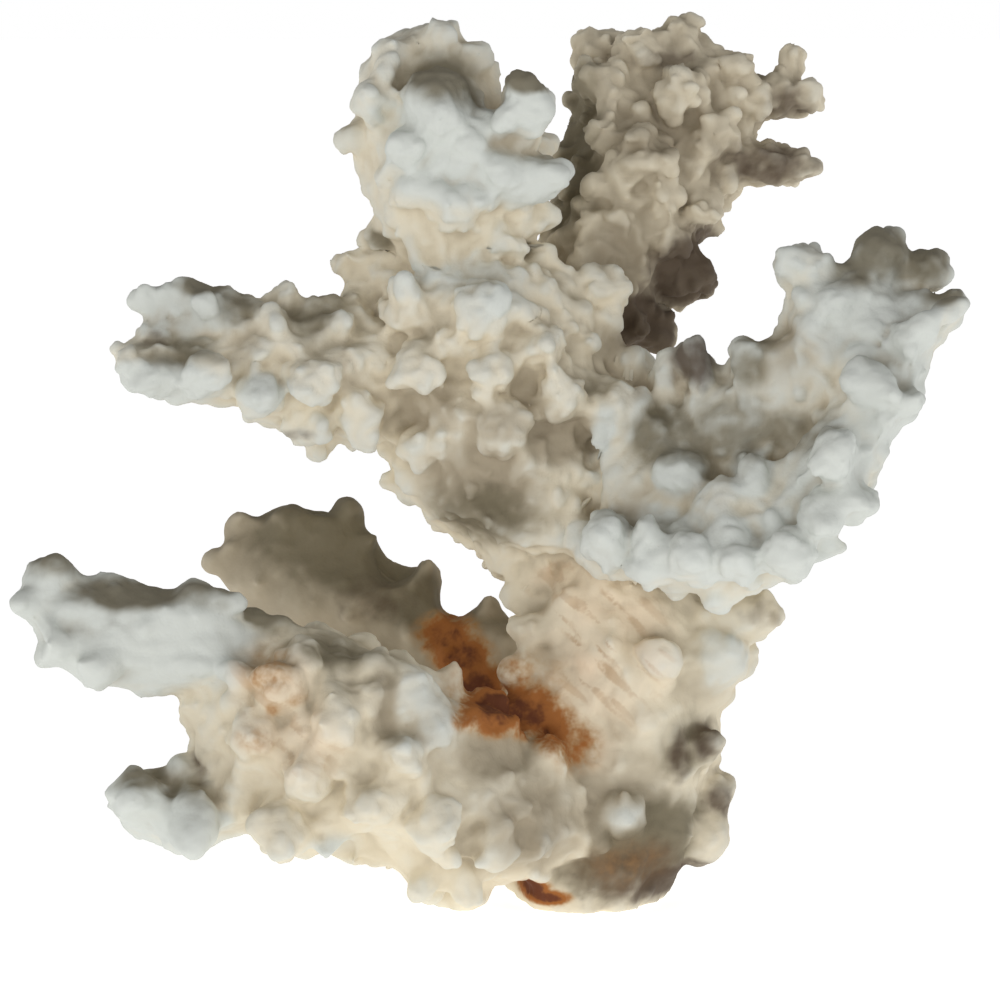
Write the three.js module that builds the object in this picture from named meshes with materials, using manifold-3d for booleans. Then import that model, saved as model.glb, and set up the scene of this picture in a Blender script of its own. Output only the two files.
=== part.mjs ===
// A branching coral skeleton: stout branches covered with rounded knobs, cut flat where it grew.
// Millimetres, +Z up, origin in the middle of the flat cut, front towards -Y.
import * as THREE from 'three';
import { mergeVertices } from 'three/addons/utils/BufferGeometryUtils.js';
import Module from 'manifold-3d';

const wasm = await Module();
wasm.setup();

// Driving dimensions.
const VIEW_TILT = THREE.MathUtils.degToRad(6); // the front view looks down by this much
const VIEW_DISTANCE = 900; // from the eye to the upright sketch plane through the origin
const VIEW_CENTRE = [-20, 80]; // across and up, where the eye looks
const FORK_GAP = 0.3; // clearance between neighbouring branches
const LUMP_PITCH = 10; // spacing of the lumps on a limb
const LIMB_SIDES = [6, 12]; // fewest and most sides of a limb
const LIMB_ROWS = [5, 10]; // fewest and most rows along it
const LIMB_END_POWER = 6; // how blunt a limb's rounded ends are
const LUMP_RISE = 0.16; // how far a limb swells at its lumps, as a share of its girth
const LUMP_DIP = 0.1; // and how far it sinks between them
const KNOB_SIDES = 5;
const KNOB_RISE = 0.35; // height of a knob's centre above its limb, in knob radii
const KNOB_ROOT = 0.3; // where a knob starts, as a share of the way from the spine to its centre
const KNOB_NECK = 0.86; // width of a knob's root, in knob radii
const KNOB_SHOULDER = [0.74, 0.62]; // width and height of the ring on its head, in knob radii
const KNOB_CROWN = 0.95; // height of the top of its head, in knob radii
const GROUND_SIZE = 500;

// The front view: places are read as across, up and away from the eye.
const forward = new THREE.Vector3(0, Math.cos(VIEW_TILT), -Math.sin(VIEW_TILT));
const upward = new THREE.Vector3(0, Math.sin(VIEW_TILT), Math.cos(VIEW_TILT));
const eye = onSketch(...VIEW_CENTRE).addScaledVector(forward, -VIEW_DISTANCE);

function onSketch(across, up) {
  return upward.clone().multiplyScalar(up).setX(across);
}

function spot(across, up, away) {
  return onSketch(across, up).sub(eye).multiplyScalar(1 + away / VIEW_DISTANCE).add(eye);
}

// Small repeatable random numbers.
function sequence(seed) {
  let state = seed;
  return () => {
    state = (state * 1664525 + 1013904223) % 4294967296;
    return state / 4294967296;
  };
}

// A three.js geometry as a closed solid, and back again.
function solidOf(geometry) {
  const bare = geometry.clone();
  bare.deleteAttribute('normal');
  bare.deleteAttribute('uv');
  const welded = mergeVertices(bare, 1e-4);
  const corners = [];
  const index = welded.index.array;
  for (let i = 0; i < index.length; i += 3) {
    const [a, b, c] = [index[i], index[i + 1], index[i + 2]];
    if (a !== b && b !== c && c !== a) corners.push(a, b, c);
  }
  const vertProperties = new Float32Array(welded.attributes.position.array);
  const triVerts = new Uint32Array(corners);
  return new wasm.Manifold(new wasm.Mesh({ numProp: 3, vertProperties, triVerts }));
}

function geometryOf(solid) {
  const mesh = solid.getMesh();
  const geometry = new THREE.BufferGeometry();
  geometry.setAttribute('position', new THREE.BufferAttribute(mesh.vertProperties, 3));
  geometry.setIndex(new THREE.BufferAttribute(mesh.triVerts, 1));
  geometry.computeVertexNormals();
  return geometry;
}

function largestBody(solid) {
  return solid.decompose().reduce((best, body) => (body.volume() > best.volume() ? body : best));
}

// A limb's spine runs through beads of [across, up, away, half width, half depth].
class Spine {
  constructor(beads) {
    this.path = new THREE.CatmullRomCurve3(beads.map(([across, up, away]) => spot(across, up, away)));
    this.girth = new THREE.CatmullRomCurve3(beads.map((bead) => new THREE.Vector3(bead[3], bead[4], 0)));
    const widest = Math.max(...beads.map((bead) => bead[3]));
    this.sides = THREE.MathUtils.clamp(2 * Math.round(Math.PI * widest / LUMP_PITCH), ...LIMB_SIDES);
    this.rows = THREE.MathUtils.clamp(Math.round(this.path.getLength() / LUMP_PITCH) + 2, ...LIMB_ROWS);
  }

  // The middle of the limb at a share of its length, with its two half axes there.
  section(share, grow) {
    const middle = this.path.getPoint(share);
    const girth = this.girth.getPoint(share);
    const along = this.path.getTangent(share);
    const deep = forward.clone().addScaledVector(along, -forward.dot(along)).normalize();
    const wide = deep.clone().cross(along).normalize();
    return { middle, wide: wide.multiplyScalar(girth.x + grow), deep: deep.multiplyScalar(girth.y + grow) };
  }

  nearest(point) {
    let best = this.path.getPoint(0);
    for (let share = 0.1; share < 0.95; share += 0.05) {
      const middle = this.path.getPoint(share);
      if (middle.distanceTo(point) < best.distanceTo(point)) best = middle;
    }
    return best;
  }
}

// The rows of a sphere laid along the spine, so the limb is closed and round at both ends.
// Every other corner swells into a lump, and the corners between them sink.
function limbGeometry(spine, grow) {
  const { sides, rows } = spine;
  const geometry = new THREE.SphereGeometry(1, sides, rows);
  const position = geometry.attributes.position;
  const random = sequence(sides * rows);
  const unevenness = Array.from({ length: sides * (rows + 1) }, random);
  const onSphere = new THREE.Vector3();
  for (let i = 0; i < position.count; i += 1) {
    onSphere.fromBufferAttribute(position, i);
    const row = Math.floor(i / (sides + 1));
    const side = (i % (sides + 1)) % sides;
    const swelling = (row + side) % 2 ? LUMP_RISE : -LUMP_DIP;
    const lump = 1 + swelling * unevenness[row * sides + side];
    const ring = Math.max(Math.hypot(onSphere.x, onSphere.z), 1e-6);
    const fullness = lump * Math.sqrt(Math.max(0, 1 - Math.abs(onSphere.y) ** LIMB_END_POWER)) / ring;
    const { middle, wide, deep } = spine.section((1 - onSphere.y) / 2, grow);
    middle.addScaledVector(wide, onSphere.x * fullness).addScaledVector(deep, onSphere.z * fullness);
    position.setXYZ(i, middle.x, middle.y, middle.z);
  }
  return geometry;
}

// A round-headed knob that grows from a point inside its limb to the centre of its head.
function knobGeometry(core, head, radius) {
  const root = core.clone().lerp(head, KNOB_ROOT);
  const length = root.distanceTo(head);
  const [shoulderWidth, shoulderHeight] = KNOB_SHOULDER;
  const profile = [
    new THREE.Vector2(0, 0),
    new THREE.Vector2(radius * KNOB_NECK, 0),
    new THREE.Vector2(radius, length),
    new THREE.Vector2(radius * shoulderWidth, length + radius * shoulderHeight),
    new THREE.Vector2(0, length + radius * KNOB_CROWN),
  ];
  const geometry = new THREE.LatheGeometry(profile, KNOB_SIDES);
  const lean = head.clone().sub(root).normalize();
  geometry.applyQuaternion(new THREE.Quaternion().setFromUnitVectors(new THREE.Vector3(0, 1, 0), lean));
  geometry.translate(root.x, root.y, root.z);
  return geometry;
}

// Where the knobs of a branch grow. One seen against its limb sits on it, one beside it is level with it.
function knobPlaces(branch, spines) {
  const limbs = spines.map((spine) => new THREE.Mesh(limbGeometry(spine, 0)));
  const nearestCore = (point) => spines
    .map((spine) => spine.nearest(point))
    .reduce((best, core) => (core.distanceTo(point) < best.distanceTo(point) ? core : best));
  return branch.knobs.map(([across, up, radius, away]) => {
    const sight = onSketch(across, up).sub(eye).normalize();
    const hit = new THREE.Raycaster(eye, sight).intersectObjects(limbs)[0];
    let head = spot(across, up, away ?? 0);
    if (away === undefined && hit) {
      head = hit.point.clone().addScaledVector(sight, -radius * KNOB_RISE);
    } else if (away === undefined) {
      const depth = nearestCore(head).sub(eye).dot(forward) - VIEW_DISTANCE;
      head = spot(across, up, depth);
    }
    return { core: nearestCore(head), head, radius };
  });
}

const groundBlock = new THREE.BoxGeometry(GROUND_SIZE, GROUND_SIZE, GROUND_SIZE);
const ground = solidOf(groundBlock.translate(0, 0, -GROUND_SIZE / 2));

// One branch: its limbs and knobs joined, and cut flat at the ground.
function branchSolid(branch, grow) {
  const spines = branch.limbs.map((beads) => new Spine(beads));
  let solid = null;
  for (const spine of spines) {
    const limb = solidOf(limbGeometry(spine, grow));
    solid = solid ? solid.add(limb) : limb;
  }
  for (const { core, head, radius } of knobPlaces(branch, spines)) {
    solid = solid.add(solidOf(knobGeometry(core, head, radius + grow)));
  }
  return solid.subtract(ground);
}

// Each branch has limbs, as beads along their spines, and knobs of [across, up, radius, away].
// A knob with no distance away stands on the side of its limbs that faces the eye.
const trunk = {
  name: 'trunk',
  colour: 0xd9c8a8,
  limbs: [[
    [-4, -12, 2, 11, 15], [-3, 4, 2, 15, 18], [1, 22, 1, 19, 19], [4, 42, 0, 20, 18], [2, 60, 0, 18, 16],
    [-3, 76, 1, 13, 13],
  ]],
  knobs: [
    [5, 17, 4.8], [-11, 12, 4.8], [19.5, 13, 5.8], [23, 21.5, 4], [20.5, 31, 4.2], [23.5, 41, 3.6],
    [24, 50, 7.4], [12, 48, 4.8], [22.5, 58.5, 4.8], [31, 57.5, 5.2, -4],
  ],
};

const centralStem = {
  name: 'central_stem',
  colour: 0xd6c9ad,
  limbs: [[
    [-4, 66, 1, 15, 14], [-11, 78, 0, 19, 16], [-18, 91, -2, 24, 18], [-22, 104, -4, 25, 18],
    [-26, 118, -5, 21, 17], [-30, 132, -6, 13, 13],
  ]],
  knobs: [
    [-40, 82, 2.4], [-36, 91, 4.8], [-21, 94, 4.8], [-8, 101, 5], [0, 98.5, 4.8], [-21, 106, 5],
    [-37, 107, 5], [-38, 118, 5], [-47, 121, 4.8], [-51.5, 127, 2.9], [-45, 133.4, 2.4], [-24, 118, 5],
    [-8, 122.5, 5], [2, 121.5, 4.8], [-11, 111, 4.4],
  ],
};

const lowerLeftBranch = {
  name: 'lower_left_branch',
  colour: 0xdcd2bb,
  limbs: [[
    [-2, 22, -8, 13, 13], [-18, 18, -15, 14, 14], [-34, 23, -22, 19, 15], [-50, 29, -26, 20, 15],
    [-66, 36, -26, 20, 13], [-83, 40, -24, 9, 9],
  ]],
  knobs: [
    [-27, 1.4, 4.4, -10], [-30, 3, 6.2, -4], [-35.5, 4.6, 4.4, -14], [-54, 10.5, 3.1], [-63.5, 13.5, 5.6],
    [-72, 20, 4.6], [-59, 25, 5], [-46, 18.5, 5], [-33, 14.5, 5], [-21, 11, 5], [-40, 29, 5.2],
    [-52.5, 35, 5], [-70, 33, 5], [-82.5, 38, 2.3], [-64, 43, 5], [-38.5, 41.5, 5.2], [-45, 46.5, 3.8],
    [-59, 49.5, 3.6], [-69.5, 55, 3.6],
  ],
};

const leftFinger = {
  name: 'left_finger',
  colour: 0xd6d8d0,
  limbs: [[
    [-68, 48, -23, 11, 10], [-82, 52, -26, 9.8, 9.4], [-97, 53, -28, 9.8, 9], [-108, 55.5, -28, 9.6, 8.6],
    [-116, 58, -27, 7, 6.4],
  ]],
  knobs: [[-110, 63.6, 5.6], [-114.5, 58.5, 3.4], [-110, 51.5, 4.2], [-100, 47, 4.6], [-81, 61, 3.4]],
};

const lowLeftFinger = {
  name: 'low_left_finger',
  colour: 0xd3d2c8,
  limbs: [[[-64, 23, -22, 9, 9], [-78, 20, -24, 9, 9], [-86, 19, -25, 7.6, 7.6], [-98, 20.5, -26, 6.4, 6.4]]],
  knobs: [[-92.5, 20.6, 6.2], [-82.5, 16.5, 6.8], [-79.6, 30.6, 2.3], [-84, 26.4, 2.8]],
};

const backLeftBranch = {
  name: 'back_left_branch',
  colour: 0x9a8d75,
  limbs: [[
    [-8, 44, 8, 12, 11], [-24, 46, 17, 12, 10], [-40, 53, 25, 11.5, 9], [-54, 64, 31, 14, 10],
    [-66, 67, 34, 11.5, 9], [-75.5, 69, 35, 7, 6],
  ]],
  knobs: [
    [-50, 76.6, 4.2], [-46.4, 71, 2.2], [-35.6, 63.4, 4.8], [-22, 57.2, 2.8], [-77, 67.4, 2.6],
    [-72, 75, 3.4], [-63, 75.2, 4],
  ],
};

const leftArm = {
  name: 'left_arm',
  colour: 0xd0cbb8,
  limbs: [
    [[-36, 104, -5, 15, 13], [-52, 105, -9, 14, 12], [-64, 107, -12, 11, 10], [-76, 109, -14, 8, 8]],
    [[-66, 107, -13, 8, 8], [-82, 106.4, -16, 6.6, 6.6], [-97, 107, -17, 5.4, 5.4]],
    [[-64, 113, -11, 7, 7], [-79, 117.6, -13, 4.6, 4.6], [-93.5, 120.2, -14, 3.2, 3.2]],
  ],
  knobs: [
    [-94, 107.4, 2.8], [-80, 104.5, 4.8], [-82.4, 122.2, 2.6], [-68, 101.4, 4.8], [-67, 116, 3.8],
    [-63, 119.4, 3.6], [-57, 104.5, 5.2], [-48, 97, 5], [-58, 95, 4.8], [-56.6, 90.4, 2.6],
    [-55, 117.6, 3.8],
  ],
};

const upperLeftBranch = {
  name: 'upper_left_branch',
  colour: 0xd8d7cb,
  limbs: [
    [[-29, 124, -6, 12, 12], [-31, 136, -8, 12.5, 12], [-33, 147, -9, 14, 12], [-35, 158, -7, 14, 12],
      [-33, 168, -5, 12.5, 10], [-31, 175, -4, 7, 7]],
    [[-28, 142, -14, 6, 7], [-18, 144, -17, 4.8, 5], [-6, 145, -18, 4, 4.2]],
    [[-22, 148, -14, 6, 6], [-17, 154, -17, 5.2, 5.2], [-14.5, 165, -17, 4.8, 4.8]],
  ],
  knobs: [
    [-50.5, 151.6, 2.7], [-46, 160, 4.6], [-41.5, 169, 4], [-32, 173, 4.2], [-24, 168.5, 3.6],
    [-33, 159.4, 5], [-24.5, 153, 4.8], [-38.5, 150, 4.8], [-38, 141.6, 4.6], [-29, 138, 4.8],
    [-15, 135.4, 4.4], [-12, 151, 2.9, -6], [-14, 159.6, 4.8],
  ],
};

const rightBranch = {
  name: 'right_branch',
  colour: 0xcfd0c6,
  limbs: [
    [[-2, 76, -4, 13, 12], [13, 83, -9, 14, 11], [27, 89, -12, 14, 9], [40, 99, -16, 15, 9],
      [48, 113, -20, 13.5, 10], [51, 128, -21, 9, 8]],
    [[-8, 74, -10, 8, 8], [11, 69, -23, 7, 7], [28, 71, -28, 8.5, 8], [40, 77, -30, 9, 8],
      [50, 89, -30, 8.5, 8], [59, 104, -28, 7.4, 7], [66, 114, -26, 5, 5]],
  ],
  knobs: [
    [-7, 77.6, 5.2], [2, 71.6, 6], [11, 67.6, 5.2], [19.5, 68, 5], [28, 67.6, 5], [16, 85, 4.6],
    [30, 86, 4], [38.5, 70, 4.6], [45, 77, 4.4], [50.5, 79.2, 3.6], [47, 88, 5.2], [62.5, 100, 3.4],
    [54, 103, 4.8], [62, 112, 4.6], [70.3, 119, 3.8, -26], [66.4, 126.6, 3.6, -20], [57.5, 129.6, 4.8],
    [40, 126.6, 5.2], [29.4, 108.6, 3.5], [19, 107, 3.8], [7, 105.6, 4.6, 0], [13, 102, 3.8], [8, 94, 5],
  ],
};

const upperRightBranch = {
  name: 'upper_right_branch',
  colour: 0xb3a488,
  limbs: [
    [[-8, 112, 6, 9, 10], [-2, 124, 13, 12, 12], [6, 137, 20, 15, 13], [11, 150, 25, 18, 14],
      [14, 162, 27, 19, 13], [15, 174, 26, 11, 9]],
    [[20, 148, 22, 6, 6], [30, 147.4, 23, 4.6, 4.6], [41.5, 147, 23, 3.2, 3.4]],
    [[20, 160, 25, 6, 6], [32, 160, 26, 4.8, 4.6], [43.5, 159.6, 26, 3.2, 3.4]],
    [[-2, 116, 10, 6, 6], [6, 114.6, 15, 5.4, 5.2], [14.5, 114.4, 18, 4.4, 4.4]],
    [[2, 126, 15, 6, 6], [12, 124.6, 20, 5.2, 5.2], [23, 124.2, 23, 4.2, 4.2]],
  ],
  knobs: [
    [1, 163, 5.2], [1.5, 153, 4.8], [16, 161.6, 4.8], [9, 150, 5], [12, 140.4, 4], [20, 138, 4.2],
    [13, 132.6, 4.8], [23, 154, 4.8], [27, 165, 4.8], [39, 168.6, 3], [8, 169.6, 4.8], [-2, 170, 4.6],
    [16, 173.4, 4.6], [4, 143, 4.6],
  ],
};

// Branches in the order in which they meet: each one stops short of those before it.
const branches = [
  trunk, centralStem, lowerLeftBranch, leftFinger, lowLeftFinger, backLeftBranch,
  leftArm, upperLeftBranch, rightBranch, upperRightBranch,
];

const coral = new THREE.Group();
let taken = null;
for (const branch of branches) {
  const whole = branchSolid(branch, 0);
  const solid = largestBody(taken ? whole.subtract(taken) : whole);
  const material = new THREE.MeshStandardMaterial({ color: branch.colour, roughness: 0.9, metalness: 0 });
  const mesh = new THREE.Mesh(geometryOf(solid), material);
  mesh.name = branch.name;
  coral.add(mesh);
  const grown = branchSolid(branch, FORK_GAP);
  taken = taken ? taken.add(grown) : grown;
}

export default coral;
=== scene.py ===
import math
import random
from itertools import product

import bmesh
import bpy
import numpy as np
from mathutils import Matrix, Vector, noise
from mathutils.bvhtree import BVHTree
from mathutils.kdtree import KDTree


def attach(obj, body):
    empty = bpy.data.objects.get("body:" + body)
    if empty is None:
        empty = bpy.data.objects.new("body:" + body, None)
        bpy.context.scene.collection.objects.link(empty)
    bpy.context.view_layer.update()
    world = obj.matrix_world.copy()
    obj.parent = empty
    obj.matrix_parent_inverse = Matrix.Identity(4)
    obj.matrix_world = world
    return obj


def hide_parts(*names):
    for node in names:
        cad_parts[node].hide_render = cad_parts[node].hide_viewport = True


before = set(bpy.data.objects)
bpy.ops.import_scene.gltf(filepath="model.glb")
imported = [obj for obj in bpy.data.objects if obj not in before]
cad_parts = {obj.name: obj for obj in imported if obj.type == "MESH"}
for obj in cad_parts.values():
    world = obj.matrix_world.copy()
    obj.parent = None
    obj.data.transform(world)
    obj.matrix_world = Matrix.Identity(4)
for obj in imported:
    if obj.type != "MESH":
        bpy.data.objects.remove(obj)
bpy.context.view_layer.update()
scene = bpy.context.scene
mm = 0.001
print("frame loaded,", len(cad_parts), "branches")

# camera: a little above the coral; the sketch plane faces it through the origin, in mm across and up
view = {"tilt": math.radians(6), "distance": 900, "centre": (-20, 80), "field": 200, "sensor": 36}
sideways = Vector((1, 0, 0))
upward = Vector((0, math.sin(view["tilt"]), math.cos(view["tilt"])))
forward = Vector((0, math.cos(view["tilt"]), -math.sin(view["tilt"])))


def onPlane(across, up):
    return (sideways * across + upward * up) * mm


eye = onPlane(*view["centre"]) - forward * view["distance"] * mm
cameraData = bpy.data.cameras.new("camera")
cameraData.sensor_width = view["sensor"]
cameraData.lens = view["sensor"] * view["distance"] / view["field"]
camera = bpy.data.objects.new("camera", cameraData)
camera.location = eye
camera.rotation_euler = forward.to_track_quat("-Z", "Y").to_euler()
scene.collection.objects.link(camera)
scene.camera = camera
scene.view_settings.view_transform = "Standard"

# one dictionary a branch, in mm. white, tan, rough and calm: its tone and grain, the white partly painted
# light and the tan partly painted shade;
# spacing and radius: its scattered nubs; fingers: root across and up, tip across and up, radius;
# dents: across, up, half width, depth; stains: kind, across, up, half width, half height, strength
# white stains are partly painted light; tan, dust and dusk stains are partly painted shade and shadow,
# over real dust and brown stains
trunk = {
    "node": "trunk", "slot": "cream_skeleton",
    "white": 0.1, "tan": 0.05, "rough": 0.7, "calm": 0.4,
    "spacing": 10.5, "radius": (2.2, 3.6),
    "fingers": [
        (24.5, 58, 34, 57.5, 3.6), (23, 50, 23.5, 48, 8.5), (12, 50, 12, 48.5, 4.6),
        (20.5, 57.5, 20.5, 57.5, 3.4), (23.5, 41, 25, 41, 3), (16.5, 30.5, 16.5, 27, 2.8),
        (21, 32, 22.5, 32, 3.6), (22.5, 20, 23.5, 20.5, 3.2), (21, 13.5, 22, 12, 5),
        (0.5, 18.5, 7, 16, 3.2), (11, 21.5, 11, 21.5, 1.4), (-6, 60, -6, 60, 2.4),
        (-13.5, 63.5, -13.5, 63.5, 4), (2, 52, 2, 52, 2.8), (-8, 50, -8, 50, 2.4), (8, 36, 8, 36, 2.8),
        (4, 28, 4, 28, 2.6), (-11, 12, -12, 11.5, 4), (-2, 13, -2, 13, 4.5), (-9, 55, -16, 54, 4),
        (-9, 47, -17, 46, 4.5), (-10, 40, -17, 38, 5), (-13, 33, -13, 33, 6.5),
        (-13.5, 35.5, -13.5, 35.5, 5), (-14, 31, -14, 31, 4.5), (-10, 28, -10, 28, 5.5),
        (-13, 58, -17, 61, 3.5),
    ],
    "dents": [],
    "stains": [
        ("white", 4.5, 16.5, 5, 3, 0.4), ("white", 25, 50, 8, 8, 0.45), ("white", 11, 48, 5, 4.5, 0.35),
        ("bare", 4.5, 16.5, 5, 3.5, 0.6), ("bare", 21.5, 12.5, 4, 4, 0.6), ("tan", -8, 26, 8, 8, 0.7),
        ("tan", 18, 60, 8, 3, 0.4), ("tan", 20, 42, 6, 3, 0.4), ("tan", 8, 26, 10, 6, 0.4),
        ("tan", -14, 50, 7, 12, 0.5), ("tan", 4, 14, 15, 11, 1), ("dust", 11, 11, 14, 10, 1.2),
        ("dust", 17, 17, 6, 5, 0.7), ("dusk", 14, 4, 13, 4.5, 1), ("dust", 18, 30.5, 7, 7, 0.7),
        ("dusk", 21.5, 32, 4, 5.5, 0.7), ("dusk", 16, 29, 2.5, 6, 0.7), ("dust", 2, 4.5, 11, 6, 0.8),
        ("dusk", 7, 5, 13, 7, 0.75), ("dusk", 24, 20, 4, 5, 0.8), ("dusk", 32, 57, 5.5, 4, 0.45),
        ("peach", 0, 52, 12.5, 15, 1), ("peach", -8, 64, 7, 5, 0.7), ("peach", -2, 31, 5, 5, 0.8),
    ],
}
centralStem = {
    "node": "central_stem", "slot": "cream_skeleton",
    "white": 0.25, "tan": 0.02, "rough": 1.3, "calm": 0.15,
    "spacing": 8.2, "radius": (2.2, 4),
    "fingers": [
        (-20, 120, -20, 119.5, 4.8), (-32, 125.5, -32, 125, 3.6), (-47.5, 120.5, -48.5, 120, 2.8),
        (-42.5, 122, -42.5, 122, 1.8), (0, 122, 4.5, 122, 3), (-9, 103, -9, 106, 2.2),
        (-24, 104.5, -23.5, 105, 3.2), (-34, 106.5, -34, 106.5, 3.8), (-51, 107.5, -51, 107.5, 3.4),
        (-16, 108.5, -16.5, 107.5, 1.8), (-3, 99.5, -4, 99, 2.4), (-26, 97.5, -26.5, 97, 2),
        (-21, 98, -21, 98, 1.8), (-38, 120, -38, 120, 2.8), (-28, 112, -28, 112, 3),
        (-10, 122, -10, 122, 3), (-6, 114, -6, 114, 2.8), (-40, 104, -40, 104, 3.6),
        (-16, 92, -16, 92, 2.4), (-32, 90, -32, 90, 2.8), (-41, 94, -41, 94, 3), (-1, 97, 0, 92, 1.8),
        (0, 92, 2, 88.5, 1.8), (2, 88.5, 5, 85.5, 2), (3, 100, 3, 100, 5), (3, 94, 3, 94, 5),
        (5, 89, 5, 89, 4.5), (-17, 96, -17, 96, 5), (-22, 134, -16, 131, 3.4),
    ],
    "dents": [(-28, 69.5, 6, 3)],
    "stains": [
        ("tan", -24, 82, 13, 11, 0.9), ("tan", -18, 95, 12, 5, 0.7), ("tan", -34, 98, 7.5, 5.5, 0.7),
        ("tan", -8, 92, 8, 6, 0.9), ("tan", 1, 130, 6.5, 4.5, 0.6), ("tan", 5, 112, 8.5, 6.5, 0.9),
        ("tan", -40, 116, 9, 3.5, 0.25), ("tan", -14, 112, 8, 4, 0.3), ("tan", -15, 101, 5, 4, 0.5),
        ("dust", -24, 76, 13, 8, 0.85), ("dust", -44, 132, 3.5, 3, 0.9), ("dusk", 6, 113, 5, 5, 0.5),
        ("white", -21, 120, 6, 5, 0.4), ("white", -29, 126, 12, 5, 0.4), ("white", 1, 91, 3, 6, 0.8),
        ("white", 4.5, 86, 3, 2.5, 1), ("bare", 1, 92, 2.5, 5, 0.7), ("bare", 4.5, 86, 3, 2.5, 0.9),
    ],
}
lowerLeftBranch = {
    "node": "lower_left_branch", "slot": "cream_skeleton",
    "white": 0.2, "tan": 0.12, "rough": 0.8, "calm": 0.4,
    "spacing": 8.8, "radius": (2.4, 4.4),
    "fingers": [
        (-34, 38.5, -33.5, 34.5, 5.4), (-31, 16, -30.5, 15, 4), (-21.5, 16, -21, 13, 4.2),
        (-27, 4, -27, 1.5, 3.5), (-35, 5, -36, 3, 3.6), (-53, 11, -55, 9, 3.2), (-63.5, 14, -64, 12, 5),
        (-48.5, 17.5, -49, 17, 3.6), (-41.5, 20.5, -41.5, 20, 3.2), (-51, 25.5, -51, 25, 2.6),
        (-53, 40.5, -53, 39, 4.2), (-60, 26.5, -60, 26.5, 2.6), (-68, 55, -63, 54.5, 2.8),
        (-59, 49.5, -59, 50, 2.2), (-51, 47, -51, 46.5, 1.2), (-43, 46.5, -44, 33, 2),
        (-39.5, 39, -39.5, 38.5, 2.6), (-36, 24, -36, 23, 3.2), (-66, 33, -66, 33, 2.8),
        (-72, 26, -72, 26, 2.6), (-60, 36, -60, 36, 2.4), (-16, 20, -15.5, 19, 2.8),
        (-20, 24, -19, 25.5, 1.8), (-72, 40, -72, 40, 2.6),
    ],
    "dents": [(-47.5, 6, 8, 4)],
    "stains": [
        ("white", -34, 37, 7, 8, 0.35), ("white", -53, 10, 4.5, 3, 0.5), ("white", -12, 11, 6, 4, 0.3),
        ("white", -75, 48, 5, 5, 0.6), ("tan", -20, 30, 8.5, 5.5, 0.8), ("tan", -43, 40, 2.5, 9, 0.6),
        ("tan", -30, 30, 5, 5, 0.3), ("tan", -13, 15, 12, 10, 0.8), ("tan", -30, 36, 6, 9, 0.3),
        ("peach", -66, 44, 7.5, 7.5, 0.9), ("peach", -60, 31, 8.5, 6.5, 0.7),
        ("dust", -56, 49, 10, 3, 0.5), ("dust", -68, 57.5, 9, 4, 0.7), ("dusk", -78.5, 28, 3, 4, 0.4),
    ],
}
leftFinger = {
    "node": "left_finger", "slot": "white_skeleton",
    "white": 0.7, "tan": 0, "rough": 0.5, "calm": 0.6,
    "spacing": 9.5, "radius": (2.2, 3.6),
    "fingers": [
        (-108, 65.5, -108.5, 67, 3.4), (-115, 59, -115.5, 59, 2.4), (-111, 51, -111, 51, 2.2),
        (-106, 58, -106, 58, 2.4), (-82, 60.5, -81.5, 61.5, 2.6), (-96, 61.5, -95.5, 62, 1.8),
        (-81, 60, -73, 59.5, 3.2),
    ],
    "dents": [(-115, 52, 4, 3)],
    "stains": [
        ("white", -96, 50, 21, 5.5, 1), ("white", -114, 59, 4.5, 4, 0.8),
        ("dust", -108, 67.5, 7, 3, 0.7), ("dust", -94, 61, 12, 2.5, 0.6), ("dust", -78, 61, 8, 4, 0.65),
    ],
}
lowLeftFinger = {
    "node": "low_left_finger", "slot": "white_skeleton",
    "white": 0.6, "tan": 0, "rough": 0.5, "calm": 0.5,
    "spacing": 9.5, "radius": (2.2, 3.6),
    "fingers": [
        (-93, 21, -93.5, 20.5, 4.4), (-82, 14.5, -82, 12, 4.8), (-84, 26, -84, 27, 2.4),
        (-79.5, 29.5, -79.5, 31, 2.2),
    ],
    "dents": [],
    "stains": [
        ("white", -90, 17, 10, 4, 0.9), ("white", -80, 13, 6, 3.5, 0.8),
        ("dust", -92, 25, 6.5, 3, 0.45), ("dust", -83, 22, 6, 6, 0.2),
        ("dusk", -79.5, 28.5, 2.5, 4.5, 0.7),
    ],
}
backLeftBranch = {
    "node": "back_left_branch", "slot": "tan_skeleton",
    "white": 0, "tan": 0.9, "rough": 0.4, "calm": 0.55,
    "spacing": 10.5, "radius": (2.2, 3.6),
    "fingers": [
        (-50.5, 77, -50, 78, 3), (-46, 71, -45.5, 71, 2), (-34.5, 65.5, -34, 66.5, 2.8),
        (-22, 58, -22, 59, 1.8), (-72, 76, -72, 76.5, 2.6), (-76, 67, -76.5, 67.5, 2.2),
        (-60, 76, -60, 76, 2.8),
    ],
    "dents": [(-41.5, 68, 4, 4), (-28, 60, 3.5, 3)],
    "stains": [
        ("dust", -52, 72, 22, 12, 1), ("dust", -38, 62, 12, 9, 0.9), ("dusk", -44, 60, 8, 6, 0.5),
    ],
}
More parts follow.
